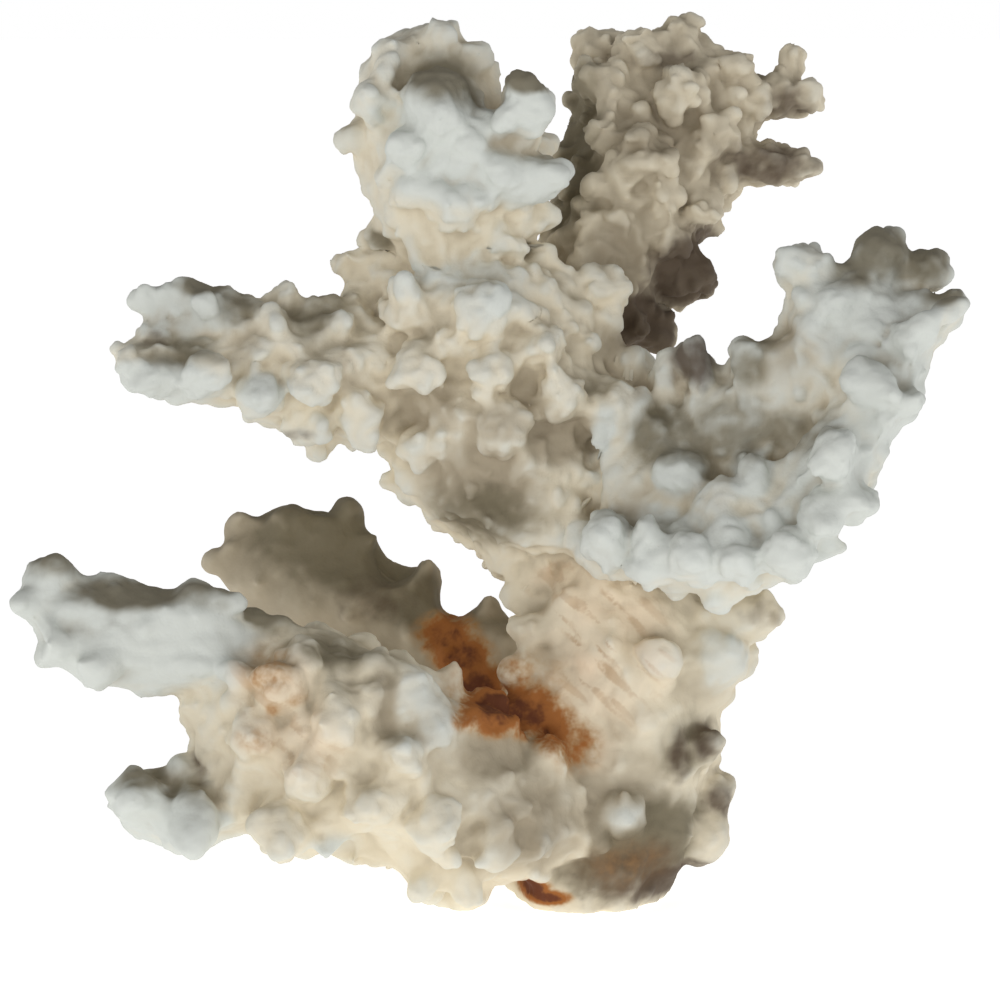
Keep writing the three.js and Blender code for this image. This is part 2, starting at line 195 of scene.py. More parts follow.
leftArm = {
    "node": "left_arm", "slot": "white_skeleton",
    "white": 0.3, "tan": 0.05, "rough": 1.1, "calm": 0.15,
    "spacing": 8.2, "radius": (2, 3.8),
    "fingers": [
        (-90, 120.5, -90.5, 121, 2.6), (-80, 118.5, -79, 119, 4.4), (-74, 114, -73.5, 113, 2.8),
        (-85, 114, -91, 114, 3), (-88, 104.5, -90, 104, 4.4), (-94.5, 107, -95, 107, 2),
        (-77, 106.5, -76.5, 105.5, 4), (-67.5, 101, -67.5, 100.5, 3.4), (-60, 102, -60, 102, 3.6),
        (-55, 106, -55, 106, 3), (-65, 115, -65, 115.5, 2.8), (-63, 121, -62.5, 121.5, 2.4),
        (-56, 94, -56, 93.5, 3.2), (-50, 100, -50, 100, 3.2), (-62, 95, -62.5, 94.5, 2.4),
        (-48, 92.5, -46, 91.5, 2.6),
    ],
    "dents": [],
    "stains": [
        ("white", -84, 118.5, 10, 5, 0.8), ("white", -88, 103, 11, 4, 0.8),
        ("white", -67.5, 101, 4.5, 3.5, 0.6), ("tan", -51, 106, 3, 5, 0.4),
        ("tan", -70, 112, 4, 4.5, 0.4), ("dust", -72.5, 117.5, 5, 4, 0.6),
        ("dust", -57.5, 116.5, 9, 5, 0.4), ("dust", -80, 123, 4.5, 2, 0.8),
        ("dust", -86, 109, 8, 3, 0.5), ("dusk", -89, 112, 4, 2.5, 0.5),
        ("dusk", -60, 93, 5.5, 1.5, 0.5),
    ],
}
upperLeftBranch = {
    "node": "upper_left_branch", "slot": "white_skeleton",
    "white": 0.35, "tan": 0, "rough": 1, "calm": 0.25,
    "spacing": 8.4, "radius": (2.2, 4.2),
    "fingers": [
        (-15, 155.5, -14.5, 162, 4.6), (-17, 163, -17, 165, 2), (-12, 161.5, -12, 162.5, 2.2),
        (-22, 147, -20, 146, 5), (-20, 146, -9, 144.5, 3.6), (-35, 143.5, -29, 139.5, 3.8),
        (-40, 152, -40.5, 151.5, 3.4), (-33, 157, -32, 156, 6), (-26, 152, -26, 151, 5),
        (-17.5, 134.5, -13, 135, 3), (-46, 160, -46.5, 161.5, 2.2), (-43, 146, -44, 145, 2.6),
        (-32, 147, -32, 147, 3), (-31.5, 150.5, -31.5, 150.5, 4.5), (-28, 145.5, -28, 145.5, 4),
        (-24, 139, -24, 139, 3.4), (-47.5, 153, -51, 152, 3),
    ],
    "dents": [],
    "stains": [
        ("white", -30, 152, 13, 10, 0.8), ("white", -16, 144, 11, 5, 0.8),
        ("white", -15, 158, 5.5, 4, 0.8), ("dust", -29, 165, 11, 6, 1), ("dust", -15, 164, 6, 2.5, 1.2),
        ("tan", -18, 151, 5, 3, 0.4),
    ],
}
rightBranch = {
    "node": "right_branch", "slot": "white_skeleton",
    "white": 0.5, "tan": 0, "rough": 0.9, "calm": 0.15,
    "spacing": 8.4, "radius": (2.2, 4.2),
    "fingers": [
        (7, 99, 7, 108.5, 3.2), (12, 99, 13, 104, 3), (15.5, 96, 18, 89.5, 1.8),
        (19, 101, 18.5, 109.5, 3.4), (29.5, 98, 29, 109.5, 3.2), (16, 85, 16.5, 85, 4.2),
        (29.5, 81, 30.5, 86, 3.4), (-5, 78.5, -5.5, 78.5, 3.8), (2, 73.5, 1, 73, 5),
        (18, 70, 18.5, 69, 5), (27, 68, 27.5, 67, 4), (39, 70, 39.5, 69.5, 3.6),
        (43, 80.5, 52, 80, 3.2), (45, 88, 45, 87.5, 3.8), (43, 69, 48, 70, 2.6),
        (54.5, 89, 55, 89, 2.6), (61, 100.5, 63.5, 100, 2.4), (60, 110, 61, 110, 2.6),
        (38.5, 127.5, 38, 128.5, 3.4), (45, 127.5, 45.5, 128.5, 1.8), (56, 129, 56.5, 129.5, 4.8),
        (65, 126.5, 66.5, 127, 3.4), (65, 115, 71, 119, 2.8), (50, 103.5, 50.5, 104, 3.6),
        (57, 102.5, 57.5, 102, 2.8), (54, 114, 54, 114, 3.4), (60, 118, 60, 118, 3),
        (40, 120, 40, 120, 3), (40, 110, 40, 110, 2.6), (34, 76, 34, 76, 3.2),
        (44, 76, 44.5, 75.5, 2.8), (8, 78, 8, 78, 2.4), (18, 78, 18.5, 77.5, 1.6),
        (58, 118, 64, 119, 4), (48, 90, 48, 90, 5), (50, 80, 54, 80, 3.4), (52, 108, 52, 108, 5),
        (57, 96, 58, 96, 4), (47, 120, 47, 120, 4.5), (36, 70, 36, 70, 5), (26, 73, 26, 73, 5),
        (24, 79, 24, 79, 8), (18, 79, 18, 79, 8), (12, 78.5, 12, 78.5, 8), (6, 79, 6, 79, 8),
        (13, 105, 14, 107.5, 3), (4.5, 104, 4.5, 104, 4), (62, 121.5, 62.5, 121.5, 2.8),
    ],
    "dents": [(34, 115, 4, 3), (58, 87, 7, 2.5), (63, 95, 5, 1.5), (65, 105, 5, 1.5)],
    "stains": [
        ("white", 4, 72, 15, 5.5, 1), ("white", 27, 68, 7, 6, 0.9), ("white", 40, 71, 8, 6, 0.8),
        ("white", 47, 85, 7.5, 11, 1), ("white", 58, 106, 6.5, 12, 0.9), ("white", 54, 118, 10, 9, 0.7),
        ("white", 16, 85, 4.5, 4, 0.9), ("white", 30.5, 86, 3.5, 4.5, 0.8), ("tan", 38, 110, 7, 7, 0.5),
        ("tan", 7, 105, 3.5, 6, 0.5), ("dust", 56, 129.5, 9, 7, 0.9), ("dust", 66, 127.5, 6, 4.5, 0.9),
        ("dust", 69, 121, 4.5, 2, 0.7), ("dust", 25, 95, 11.5, 7.5, 0.65),
        ("dust", 37, 94, 8.5, 5, 0.55), ("dust", 10, 93, 6, 5.5, 0.8), ("tan", 8, 80, 7, 3.5, 0.4),
        ("tan", 22, 79, 4.5, 6, 0.4), ("dust", 29, 107, 5, 6, 0.7), ("dusk", 18.5, 108, 6, 6, 0.8),
    ],
}
upperRightBranch = {
    "node": "upper_right_branch", "slot": "tan_skeleton",
    "white": 0, "tan": 0.48, "rough": 1.8, "calm": 0.1,
    "spacing": 8, "radius": (2, 4),
    "fingers": [
        (18, 161.5, 17, 162.5, 4), (-4, 166, -4, 149, 3), (4.5, 147, 13.5, 148, 3.6),
        (12, 141.5, 12, 141.5, 2.8), (4, 137, 4, 137, 4), (18, 137, 9, 127, 2.8), (21, 137, 22, 137, 3),
        (8, 158, 8, 157.5, 3), (27, 160, 27, 160, 3.6), (33, 162, 33, 162, 3.2), (20, 152, 20, 152, 3),
        (8, 152, 8, 152, 2.6), (36, 162, 42, 160.5, 4), (17, 126, 20, 125, 4.5),
        (28, 146.5, 34, 147.5, 4.5), (33, 147.5, 41, 147, 3.8),
    ],
    "dents": [],
    "stains": [
        ("dusk", 18, 125, 9, 9, 1.2), ("dusk", 9.5, 114.5, 10, 8, 1.2), ("dusk", 34, 147, 13, 6, 0.65),
        ("dusk", 20, 132, 6, 4, 0.8), ("dusk", 38, 159, 7, 5, 0.6), ("dusk", 12, 168, 9, 3, 0.5),
        ("dust", -5, 150, 5.5, 20, 1), ("tan", 4, 128, 6, 8, 0.6), ("tan", 12, 153, 10, 4, 0.4),
    ],
}
branches = [
    trunk, centralStem, lowerLeftBranch, leftFinger, lowLeftFinger, backLeftBranch, leftArm,
    upperLeftBranch, rightBranch, upperRightBranch,
]

growth = {
    "weld": 0.001, "swell": 0.8,  # the swell closes the fork gaps
    "bodyVoxel": 1.2, "bodyEase": 4, "standEase": 30, "spotShare": 4,
    "skinVoxel": 0.66, "skinEase": 11,
    "footClear": 3.0, "sightReach": 2, "seed": 7,
}


def remeshed(source, voxel, ease):
    rough = bpy.data.meshes.new("growth")
    source.to_mesh(rough)
    holder = bpy.data.objects.new("growth", rough)
    scene.collection.objects.link(holder)
    voxels = holder.modifiers.new("voxels", "REMESH")
    voxels.mode = "VOXEL"
    voxels.voxel_size = voxel * mm
    voxels.use_smooth_shade = True
    smooth = holder.modifiers.new("ease", "SMOOTH")
    smooth.factor = 0.5
    smooth.iterations = ease
    grown = bpy.data.meshes.new_from_object(holder.evaluated_get(bpy.context.evaluated_depsgraph_get()))
    bpy.data.objects.remove(holder)
    bpy.data.meshes.remove(rough)
    return grown


def readPoints(mesh):
    points = np.empty(len(mesh.vertices) * 3, np.float32)
    mesh.vertices.foreach_get("co", points)
    normals = np.empty(len(mesh.vertices) * 3, np.float32)
    mesh.vertex_normals.foreach_get("vector", normals)
    return points.reshape(-1, 3).astype(np.float64), normals.reshape(-1, 3).astype(np.float64)


def readEdges(mesh):
    ends = np.empty(len(mesh.edges) * 2, np.int32)
    mesh.edges.foreach_get("vertices", ends)
    return ends.reshape(-1, 2).T


# each round moves every value halfway to the mean of its neighbours
def averaged(values, edges, rounds):
    first, second = edges
    count = len(values)
    degree = np.maximum(np.bincount(edges.ravel(), minlength=count), 1)
    values = np.array(values)
    for _ in range(rounds):
        for column in range(values.shape[1]):
            line = values[:, column]
            near = np.bincount(first, line[second], count) + np.bincount(second, line[first], count)
            values[:, column] = 0.5 * line + 0.5 * near / degree
    return values


# all branches swollen into one body, and a search tree that tells which branch a place belongs to
together = bmesh.new()
split = bmesh.new()
owners = []
for index, look in enumerate(branches):
    copy = bmesh.new()
    copy.from_mesh(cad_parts[look["node"]].data)
    bmesh.ops.remove_doubles(copy, verts=copy.verts, dist=growth["weld"] * mm)
    bmesh.ops.triangulate(copy, faces=copy.faces)
    kept = bpy.data.meshes.new("kept")
    copy.to_mesh(kept)
    split.from_mesh(kept)
    owners += [index] * len(copy.faces)
    copy.normal_update()
    for vert in copy.verts:
        vert.co += vert.normal * growth["swell"] * mm
    copy.to_mesh(kept)
    together.from_mesh(kept)
    bpy.data.meshes.remove(kept)
    copy.free()
splitTree = BVHTree.FromBMesh(split)
split.free()
body = remeshed(together, growth["bodyVoxel"], growth["bodyEase"])
bodyPoints, bodyNormals = readPoints(body)
bodyMean = averaged(bodyPoints, readEdges(body), growth["standEase"])
bodyStand = ((bodyPoints - bodyMean) * bodyNormals).sum(1)
bodyShape = bmesh.new()
bodyShape.from_mesh(body)
bodyTree = BVHTree.FromBMesh(bodyShape)
bodyShape.free()
bpy.data.meshes.remove(body)
chance = random.Random(growth["seed"])
noise.seed_set(growth["seed"])
order = list(range(len(bodyPoints)))
chance.shuffle(order)
spots = order[::growth["spotShare"]]
spotTree = KDTree(len(spots))
for place, index in enumerate(spots):
    spotTree.insert(bodyPoints[index], place)
spotTree.balance()
spotOwner = np.array([owners[splitTree.find_nearest(Vector(bodyPoints[index]))[2]] for index in spots])
bodyOwner = [spotOwner[spotTree.find(place)[1]] for place in bodyPoints]
print("body", len(bodyPoints), "points,", len(spots), "spots")


# the place and normal that the camera sees at a place of the sketch plane
def sightSpot(tree, across, up):
    return tree.ray_cast(eye, (onPlane(across, up) - eye).normalized())[:2]


def inSight(place, reach):
    seen = bodyTree.ray_cast(eye, (place - eye).normalized())[0]
    return seen is not None and (seen - place).length < reach


# fingers and knobs that the photo shows: each is a row of balls from its root on the body to its tip
finger = {"step": 0.5, "sink": 0.7, "rise": -0.05, "flare": 1.15, "taper": 0.88, "uneven": 0.14}
seats = []
for look in branches:
    for rootAcross, rootUp, tipAcross, tipUp, radius in look["fingers"]:
        root, normal = sightSpot(bodyTree, rootAcross, rootUp)
        if root is None:
            continue
        way = onPlane(tipAcross - rootAcross, tipUp - rootUp)
        radius *= mm
        steps = 2 + int(way.length / (radius * finger["step"]))
        for step in range(steps):
            along = step / (steps - 1)
            out = normal * radius * (along * (finger["rise"] + finger["sink"]) - finger["sink"])
            size = radius * (finger["flare"] - along * (finger["flare"] - finger["taper"]))
            uneven = (1 - finger["uneven"], 1 + finger["uneven"])
            shape = [size * chance.uniform(*uneven) for axis in range(3)]
            seats.append(Matrix.Translation(root + way * along + out) @ Matrix.Diagonal((*shape, 1)))
print("finger balls", len(seats))


# where a nub sits: its axis leans off the normal, more up than down, and its ball is stretched along it
nubShape = {"droop": -0.6, "flat": 0.8}


def nubSeat(place, normal, radius, stretch, rise, lean):
    sway = Vector([chance.uniform(least, 1) for least in (-1, -1, nubShape["droop"])])
    axis = (Vector(normal) + sway * lean).normalized()
    shape = Matrix.Diagonal((radius, radius * chance.uniform(nubShape["flat"], 1), radius * stretch, 1))
    seat = Matrix.Translation(place + axis * radius * rise)
    turn = axis.to_track_quat("Z", "Y").to_matrix().to_4x4()
    return seat @ turn @ Matrix.Rotation(chance.uniform(0, math.pi), 4, "Z") @ shape


# seeded darts on the body, kept apart by their own spacing; few of them land in sight, and none on a knob
def scatter(spacingOf, radiusOf, kind):
    made = []
    taken = {}
    cell = kind["cell"] * mm
    for index in order:
        place = Vector(bodyPoints[index])
        if place.z < growth["footClear"] * mm or bodyStand[index] > kind["bare"] * mm:
            continue
        look = branches[bodyOwner[index]]
        key = tuple(int(c // cell) for c in place)
        around = [tuple(k + s for k, s in zip(key, side)) for side in product((-1, 0, 1), repeat=3)]
        spacing = spacingOf(look) * mm
        if any((other - place).length < spacing for box in around for other in taken.get(box, ())):
            continue
        taken.setdefault(key, []).append(place)
        radius = chance.uniform(*radiusOf(look)) * mm
        stretch = chance.uniform(*kind["stretch"])
        seat = nubSeat(place, bodyNormals[index], radius, stretch, kind["rise"], kind["lean"])
        seen = inSight(place, growth["sightReach"] * mm)
        if seen and chance.random() > kind["sightShare"] * look["rough"]:
            continue
        tip = seat @ Vector((0, 0, 1))
        if bodyTree.ray_cast(eye, (tip - eye).normalized())[0] is None:  # it would change the outline
            seat = seat @ Matrix.Scale(kind["rimScale"], 4)
        made.append(seat)
    return made


nubs = {
    "cell": 11, "bare": 1.0, "stretch": (0.9, 1.3), "rise": 0.1, "lean": 0.35,
    "rimScale": 0.55, "sightShare": 0.25,
}
grains = {
    "cell": 5, "bare": 9, "stretch": (0.9, 1.2), "rise": 0.05, "lean": 0.3,
    "rimScale": 0.5, "sightShare": 0.4, "spacing": 4.8, "radius": (1.0, 1.8),
}
seats += scatter(lambda look: look["spacing"], lambda look: look["radius"], nubs)
seats += scatter(lambda look: grains["spacing"], lambda look: grains["radius"], grains)
print("balls in all", len(seats))

# one small ball, laid at every seat as one joined mesh
ball = bmesh.new()
bmesh.ops.create_icosphere(ball, subdivisions=2, radius=1)
corners = np.array([(*vert.co, 1) for vert in ball.verts])
sides = np.array([[vert.index for vert in face.verts] for face in ball.faces])
ball.free()
laid = np.concatenate([(corners @ np.array(seat).T)[:, :3] for seat in seats])
faces = (sides[None] + np.arange(len(seats))[:, None, None] * len(corners)).reshape(-1, 3)
ballMesh = bpy.data.meshes.new("balls")
ballMesh.from_pydata(laid, [], faces)
together.from_mesh(ballMesh)
bpy.data.meshes.remove(ballMesh)
skin = remeshed(together, growth["skinVoxel"], growth["skinEase"])
together.free()
points, normals = readPoints(skin)
edges = readEdges(skin)
count = len(points)
print("skin", count, "points")

# rounds of averaging on the skin
ease = {
    "share": 24, "tones": 80, "calm": 40, "press": 60,
    "near": 10, "wide": 70, "facing": 50, "shelter": 30,
}
# branch of every point, softened so that the splits run smoothly
nearest = np.array([spotTree.find(p)[1] for p in points])
share = np.zeros((count, len(branches)))
share[np.arange(count), spotOwner[nearest]] = 1
share = averaged(share, edges, ease["share"])
within = np.minimum(share * 2, 1)  # full where a branch has half of the share
toneNames = ("white", "tan", "rough", "calm")
tones = share @ np.array([[look[tone] for tone in toneNames] for look in branches])
white, tan, rough, calm = averaged(tones, edges, ease["tones"]).T
print("branches told apart")

# relief of the skin, size and rise in mm: slow swells, lumps with creases between them, and a fine grain;
# the calmer branches are smoothed first, and a slow warp keeps the balls from looking round
relief = {"swell": (10, 0.6), "lump": (6, 0.9), "bead": (3, 0.55), "grain": (1.4, 0.12)}
crease = {"soft": 0.02, "gain": 2, "drop": 0.6}
warp = {"size": 9, "reach": 1.4}
points += (averaged(points, edges, ease["calm"]) - points) * calm[:, None]
drift = np.array([noise.noise_vector(Vector(p) / (warp["size"] * mm)) for p in points])
points += drift * warp["reach"] * mm
lift = np.zeros(count)
for kind, (size, rise) in relief.items():
    wave = np.array([noise.noise(Vector(p) / (size * mm)) for p in points])
    if kind in ("lump", "bead"):
        wave = np.sqrt(wave ** 2 + crease["soft"]) * crease["gain"] - crease["drop"]
    lift += wave * rise * mm * (1 if kind == "swell" else rough)
# dents lie where the camera's sight lines through them meet the branch
fade = 1.45  # where dents and stains end, in half widths
sight = points - np.array(eye)
sight *= (-eye.dot(forward) / (sight @ np.array(forward)))[:, None]
sight = (sight + np.array(eye)) / mm
press = np.zeros(count)
for index, look in enumerate(branches):
    for across, up, half, depth in look["dents"]:
        away = np.hypot(sight @ np.array(sideways) - across, sight @ np.array(upward) - up) / half
        press += depth * mm * np.clip(fade - away, 0, 1) * within[:, index]
points = points + normals * lift[:, None] - averaged(normals, edges, ease["press"]) * press[:, None]
points[:, 2] = np.maximum(points[:, 2], 0)
skin.vertices.foreach_set("co", points.astype(np.float32).ravel())
skin.update()
points, normals = readPoints(skin)
print("relief laid on")

# how far each point stands out of its surroundings, near and wide, and how far its part faces up
stand = {"near": 0.3, "wide": 1.4}  # mm of standing out that count in full
near = averaged(points, edges, ease["near"])
wide = averaged(near, edges, ease["wide"])
standNear = np.clip(((points - near) * normals).sum(1) / (stand["near"] * mm), -1, 1)
standWide = np.clip(((points - wide) * normals).sum(1) / (stand["wide"] * mm), -1, 1)
facingUp = averaged(normals[:, 2:], edges, ease["facing"])[:, 0]

# how sheltered: rays from the spots of the body that meet the coral again; it darkens the colour as
# painted shade in the recesses
shelter = {"rays": 40, "reach": 35, "lift": 1.5, "grazing": 0.1}
golden = math.pi * (3 - math.sqrt(5))
rays = []
for i in range(shelter["rays"]):
    z = 1 - 2 * (i + 0.5) / shelter["rays"]
    ring = math.sqrt(1 - z * z)
    rays.append(Vector((ring * math.cos(golden * i), ring * math.sin(golden * i), z)))
spotShelter = []
for index in spots:
    normal = Vector(bodyNormals[index])
    start = Vector(bodyPoints[index]) + normal * shelter["lift"] * mm
    facing = [(ray, ray.dot(normal)) for ray in rays if ray.dot(normal) > shelter["grazing"]]
    met = sum(weight for ray, weight in facing if bodyTree.ray_cast(start, ray, shelter["reach"] * mm)[0])
    spotShelter.append(met / sum(weight for ray, weight in facing))
sheltered = averaged(np.array(spotShelter)[nearest][:, None], edges, ease["shelter"])[:, 0]
print("shelter", round(float(sheltered.mean()), 3))

# stains lie round the place on the skin that the camera sees there, a little before it and behind it;
# bare ones clear away the tan, dust and dusk, with the painted shade in them, and rust runs over several
# branches
stainDepth = {"before": 22, "behind": 13}
rustDepth = {"before": 15, "behind": 15}
skinShape = bmesh.new()
skinShape.from_mesh(skin)
skinTree = BVHTree.FromBMesh(skinShape)
skinShape.free()
rust = [
    (-30.5, 53, 6, 4, 1.0), (-27.5, 48.5, 6, 4.5, 1.1), (-24.5, 43, 5.5, 5, 1.3),
    (-21, 38.5, 6.5, 4.5, 1.3), (-14.5, 38, 6, 4.5, 1.2), (-9.5, 35, 4.5, 5, 0.8), (-5, 31, 5, 5, 0.55),
    (-27, 37, 2.5, 3, 0.6), (-13.5, 2.5, 3.5, 2.5, 1.5), (-10.5, 0.5, 4, 1.6, 1.5),
    (-20, 42, 13, 9, 0.4), (6, 7, 10, 6, 0.2), (-66.5, 45.5, 5.5, 5, 0.36), (-69.5, 32, 4, 3, 0.3),
    (-61, 40, 2, 1.5, 0.35), (-65.5, 38, 1.5, 1.5, 0.4),
]
masks = {kind: np.zeros(count) for kind in ("white", "tan", "peach", "dust", "dusk", "bare", "rust")}


def lay(kind, across, up, halfWidth, halfHeight, strength, depth, where):
    spot = sightSpot(skinTree, across, up)[0]
    if spot is None:
        return
    away = (points - np.array(spot)) / mm
    away[:, 0] /= halfWidth
    away[:, 1] /= np.where(away[:, 1] > 0, depth["behind"], depth["before"])
    away[:, 2] /= halfHeight
    stain = strength * np.clip(fade - np.sqrt((away ** 2).sum(1)), 0, 1) * where
    masks[kind] = np.maximum(masks[kind], stain)


for index, look in enumerate(branches):
    for stain in look["stains"]:
        lay(*stain, stainDepth, within[:, index])
for stain in rust:
    lay("rust", *stain, rustDepth, 1)
clean = 1 - np.minimum(masks["bare"], 1)


# uneven clouds about zero, sizes in mm: patches, specks, and streaks that slant down the peach front
clouds = {"patch": 12, "speck": 3, "streak": 2.2, "octaves": 4, "spread": 0.085, "streakSpread": 0.1445}
streaks = {"slant": math.radians(42), "length": 6, "depth": 2}


def clouded(places, size, spread):
    values = np.array([noise.fractal(Vector(p) / (size * mm), 1, 2, clouds["octaves"]) for p in places])
    return (values - values.mean()) / values.std() * spread


leanCos = math.cos(streaks["slant"])
leanSin = math.sin(streaks["slant"])
slanted = np.stack([
    (points[:, 0] * leanCos - points[:, 2] * leanSin) / streaks["length"],
    points[:, 1] / streaks["depth"],
    points[:, 0] * leanSin + points[:, 2] * leanCos,
], 1)
layers = {
    "standNear": standNear, "standWide": standWide, "sheltered": sheltered, "facingUp": facingUp,
    "white": np.clip(white + masks["white"], 0, 1), "tan": np.clip(tan + masks["tan"], 0, 1) * clean,
    "peach": masks["peach"], "dust": masks["dust"] * clean,
    "dusk": masks["dusk"] * clean, "rust": masks["rust"],
    "patch": clouded(points, clouds["patch"], clouds["spread"]),
    "speck": clouded(points, clouds["speck"], clouds["spread"]),
    "streak": clouded(slanted, clouds["streak"], clouds["streakSpread"]),
}
for name, values in layers.items():
    layer = skin.attributes.new(name, "FLOAT", "POINT")
    layer.data.foreach_set("value", values.astype(np.float32))
print("stains laid")

# chalky skeleton, coloured by relief, shelter and stains, with painted shade in the hollows and on the
# upward faces and painted light on the white parts
finish = {
    "cream": (0.760, 0.680, 0.520), "white": (0.640, 0.663, 0.622), "tan": (0.390, 0.332, 0.240),
    "hollow": (0.350, 0.292, 0.205), "dust": (0.168, 0.143, 0.090), "peach": (0.830, 0.680, 0.500),
    "dusk": (0.078, 0.050, 0.032), "ochre": (0.430, 0.240, 0.095), "rust": (0.330, 0.120, 0.030),
    "deepRust": (0.130, 0.040, 0.016),
    "roughness": 0.86, "specular": 0.25, "grainSize": 1.1, "grainRise": 0.2, "grainShare": 0.5,
}
# where each tone starts and is full
ramps = {
    "hollow": (0.15, 1.15), "tip": (0, 0.8), "peach": (-0.3, 0.2), "streak": (0.02, 0.22),
    "tan": (0, 0.95), "upper": (0.2, 1), "dust": (0.1, 0.95), "dusk": (0.15, 0.9),
    "fleck": (0, 0.5), "ochre": (0, 0.6), "rust": (0.35, 0.8), "deepRust": (0.9, 1.4),
}
# how far each tone covers the ones below, at the most
cover = {
    "streak": 0.5, "hollow": 0.6, "upper": 0.48, "dust": 0.9,
    "dusk": 0.9, "ochre": 0.85, "deepHollow": 0.4,
}
material = bpy.data.materials.new("chalkySkeleton")
material.use_nodes = True
tree = material.node_tree
tree.nodes.clear()


def plug(socket, value):
    if isinstance(value, bpy.types.NodeSocket):
        tree.links.new(value, socket)
    elif isinstance(value, tuple):
        socket.default_value = (*value, 1)
    else:
        socket.default_value = value


def attribute(name):
    reader = tree.nodes.new("ShaderNodeAttribute")
    reader.attribute_name = name
    return reader.outputs["Fac"]


def reckon(operation, a, b):
    step = tree.nodes.new("ShaderNodeMath")
    step.operation = operation
    plug(step.inputs[0], a)
    plug(step.inputs[1], b)
    return step.outputs[0]


def times(a, b):
    return reckon("MULTIPLY", a, b)


def plus(a, b):
    return reckon("ADD", a, b)


def ramped(value, tone):
    ramp = tree.nodes.new("ShaderNodeMapRange")
    ramp.interpolation_type = "SMOOTHSTEP"
    plug(ramp.inputs["Value"], value)
    ramp.inputs["From Min"].default_value, ramp.inputs["From Max"].default_value = ramps[tone]
    return ramp.outputs["Result"]


def mixed(factor, a, b):
    mix = tree.nodes.new("ShaderNodeMix")
    mix.data_type = "RGBA"
    plug(mix.inputs["Factor"], factor)
    plug(mix.inputs[6], a)
    plug(mix.inputs[7], b)
    return mix.outputs[2]


# a fine chalk grain, for flecks and as bump
grain = tree.nodes.new("ShaderNodeTexNoise")
tree.links.new(tree.nodes.new("ShaderNodeTexCoord").outputs["Object"], grain.inputs["Vector"])
grain.inputs["Scale"].default_value = 1 / (finish["grainSize"] * mm)
grain.inputs["Detail"].default_value = 1
bump = tree.nodes.new("ShaderNodeBump")
bump.inputs["Strength"].default_value = finish["grainShare"]
bump.inputs["Distance"].default_value = finish["grainRise"] * mm
tree.links.new(grain.outputs["Fac"], bump.inputs["Height"])
sources = {name: attribute(name) for name in layers}
sources["fleck"] = plus(grain.outputs["Fac"], -0.5)


# layers added up, each with its own weight
def summed(**weights):
    total = 0
    for name, weight in weights.items():
        total = plus(total, times(sources[name], weight))
    return total


# painted shade in the hollows, from shelter and from sinking below the neighbours, then the tones and
# stains over each other
sources["sunk"] = summed(sheltered=0.85, standWide=-0.4, standNear=-0.1, speck=0.3, patch=0.5)
hollow = ramped(sources["sunk"], "hollow")
# white on what stands out, cream in the sunk places: a white tone partly painted light and shade
colour = mixed(ramped(summed(white=1, sunk=-0.5), "tip"), finish["cream"], finish["white"])
colour = mixed(times(sources["peach"], ramped(sources["patch"], "peach")), colour, finish["peach"])
streaked = times(ramped(sources["streak"], "streak"), cover["streak"])
colour = mixed(times(sources["peach"], streaked), colour, finish["ochre"])
# tan, more in the hollows than on the lumps: a tan tone partly painted shade
colour = mixed(ramped(summed(tan=1, patch=0.6, standWide=-0.3), "tan"), colour, finish["tan"])
# painted shade in the hollows
colour = mixed(times(hollow, cover["hollow"]), colour, finish["hollow"])
# painted shade on the upward faces
upper = times(ramped(summed(facingUp=1, patch=0.8), "upper"), cover["upper"])
# dust stains, partly dust and partly painted shade, joined with the painted shade of the upward faces
dusty = ramped(plus(upper, summed(dust=1, patch=0.5, speck=0.4, standWide=-0.2)), "dust")
colour = mixed(times(dusty, cover["dust"]), colour, finish["dust"])
# dark brown stains, partly painted shadow
dusky = ramped(summed(dusk=1, patch=0.5, speck=0.6), "dusk")
colour = mixed(times(dusky, cover["dusk"]), colour, finish["dusk"])
rusty = plus(sources["rust"], times(summed(speck=1, fleck=0.5), ramped(sources["rust"], "fleck")))
colour = mixed(times(ramped(rusty, "ochre"), cover["ochre"]), colour, finish["ochre"])
colour = mixed(ramped(rusty, "rust"), colour, finish["rust"])
# the rust goes darker under the painted shade in the hollows
deepRust = ramped(plus(rusty, times(hollow, cover["deepHollow"])), "deepRust")
colour = mixed(deepRust, colour, finish["deepRust"])
shader = tree.nodes.new("ShaderNodeBsdfPrincipled")
shader.inputs["Roughness"].default_value = finish["roughness"]
shader.inputs["Specular IOR Level"].default_value = finish["specular"]
tree.links.new(colour, shader.inputs["Base Color"])
tree.links.new(bump.outputs["Normal"], shader.inputs["Normal"])
output = tree.nodes.new("ShaderNodeOutputMaterial")
tree.links.new(shader.outputs["BSDF"], output.inputs["Surface"])
print("finish mixed")

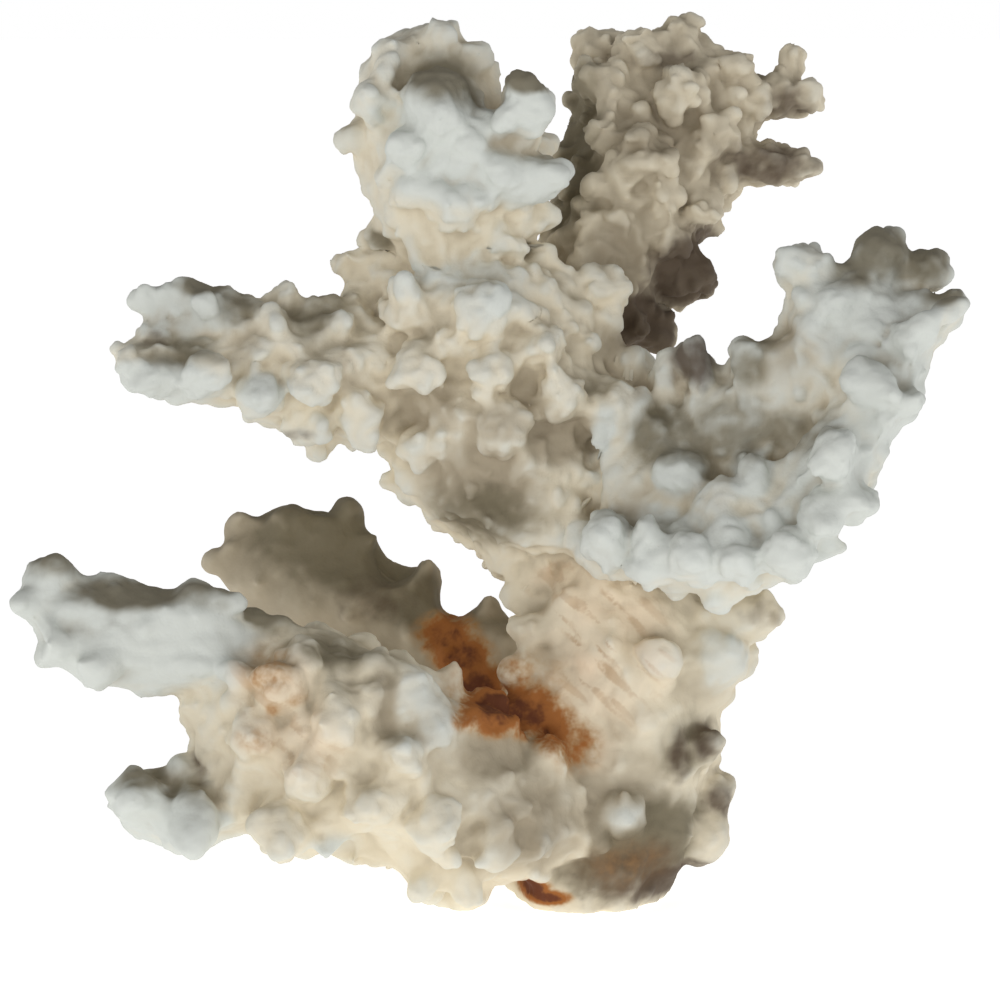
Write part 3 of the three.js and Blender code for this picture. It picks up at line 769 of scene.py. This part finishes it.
# split at the forks: every branch keeps its own faces and is closed with a cap inside the fork
faceOwner = np.empty(len(skin.polygons) * 4, np.int32)
skin.polygons.foreach_get("vertices", faceOwner)
faceOwner = share[faceOwner.reshape(-1, 4)].sum(1).argmax(1)
for index, look in enumerate(branches):
    piece = bmesh.new()
    piece.from_mesh(skin)
    piece.faces.ensure_lookup_table()
    others = [piece.faces[i] for i in np.flatnonzero(faceOwner != index)]
    bmesh.ops.delete(piece, geom=others, context="FACES")
    for vert in [vert for vert in piece.verts if sum(edge.is_boundary for edge in vert.link_edges) > 2]:
        bmesh.utils.vert_separate(vert, [edge for edge in vert.link_edges if edge.is_boundary])
    rim = [edge for edge in piece.edges if edge.is_boundary]
    caps = bmesh.ops.holes_fill(piece, edges=rim, sides=0)["faces"]
    for edge in rim:
        edge.smooth = False
    for face in bmesh.ops.poke(piece, faces=caps)["faces"]:
        face.smooth = False
    mesh = bpy.data.meshes.new(look["node"] + "_skin")
    piece.to_mesh(mesh)
    mesh.materials.append(material)
    openEdges = sum(not edge.is_manifold for edge in piece.edges)
    piece.free()
    coral = bpy.data.objects.new(look["node"] + "_skin", mesh)
    scene.collection.objects.link(coral)
    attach(coral, "root")
    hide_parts(look["node"])
    print(look["node"], len(mesh.polygons), "faces,", len(caps), "caps,", openEdges, "open edges")
bpy.data.meshes.remove(skin)

# pale floor that glows a little like a light table, and soft light from the front
stage = {
    "floorRadius": 60, "floorColour": (0.8, 0.8, 0.8), "floorGlow": 0.75, "floorRoughness": 0.9,
    "horizon": (1.0, 1.0, 1.0), "zenith": (0.30, 0.30, 0.30), "fadeFrom": 0.05, "fadeTo": 0.45,
    "lamps": {
        "key": {"at": (-0.50, -0.95, 0.22), "size": 0.7, "power": 2.03, "colour": (1.0, 0.98, 0.95)},
        "fill": {"at": (0.80, -0.70, 0.35), "size": 0.8, "power": 0.85, "colour": (0.95, 0.97, 1.0)},
    },
    "aim": (-0.02, 0.0, 0.08),
}
floorShape = bmesh.new()
bmesh.ops.create_circle(floorShape, cap_ends=True, segments=64, radius=stage["floorRadius"])
floorMesh = bpy.data.meshes.new("floor")
floorShape.to_mesh(floorMesh)
floorShape.free()
floor = bpy.data.objects.new("floor", floorMesh)
scene.collection.objects.link(floor)
floorPaint = bpy.data.materials.new("paleFloor")
floorPaint.use_nodes = True
floorShader = floorPaint.node_tree.nodes["Principled BSDF"]
floorShader.inputs["Base Color"].default_value = (*stage["floorColour"], 1)
floorShader.inputs["Roughness"].default_value = stage["floorRoughness"]
floorShader.inputs["Emission Color"].default_value = (1, 1, 1, 1)
floorShader.inputs["Emission Strength"].default_value = stage["floorGlow"]
floorMesh.materials.append(floorPaint)

for name, look in stage["lamps"].items():
    lampData = bpy.data.lights.new(name, "AREA")
    lampData.size = look["size"]
    lampData.energy = look["power"]
    lampData.color = look["colour"]
    lamp = bpy.data.objects.new(name, lampData)
    lamp.location = look["at"]
    lamp.rotation_euler = (Vector(stage["aim"]) - lamp.location).to_track_quat("-Z", "Y").to_euler()
    scene.collection.objects.link(lamp)

world = bpy.data.worlds.new("studio")
scene.world = world
world.use_nodes = True
sky = world.node_tree
skyHeight = sky.nodes.new("ShaderNodeSeparateXYZ")
sky.links.new(sky.nodes.new("ShaderNodeTexCoord").outputs["Generated"], skyHeight.inputs[0])
skyFade = sky.nodes.new("ShaderNodeMapRange")
skyFade.inputs["From Min"].default_value = stage["fadeFrom"]
skyFade.inputs["From Max"].default_value = stage["fadeTo"]
sky.links.new(skyHeight.outputs["Z"], skyFade.inputs["Value"])
skyMix = sky.nodes.new("ShaderNodeMix")
skyMix.data_type = "RGBA"
sky.links.new(skyFade.outputs["Result"], skyMix.inputs["Factor"])
skyMix.inputs[6].default_value = (*stage["horizon"], 1)
skyMix.inputs[7].default_value = (*stage["zenith"], 1)
sky.links.new(skyMix.outputs[2], sky.nodes["Background"].inputs["Color"])
print("stage set")
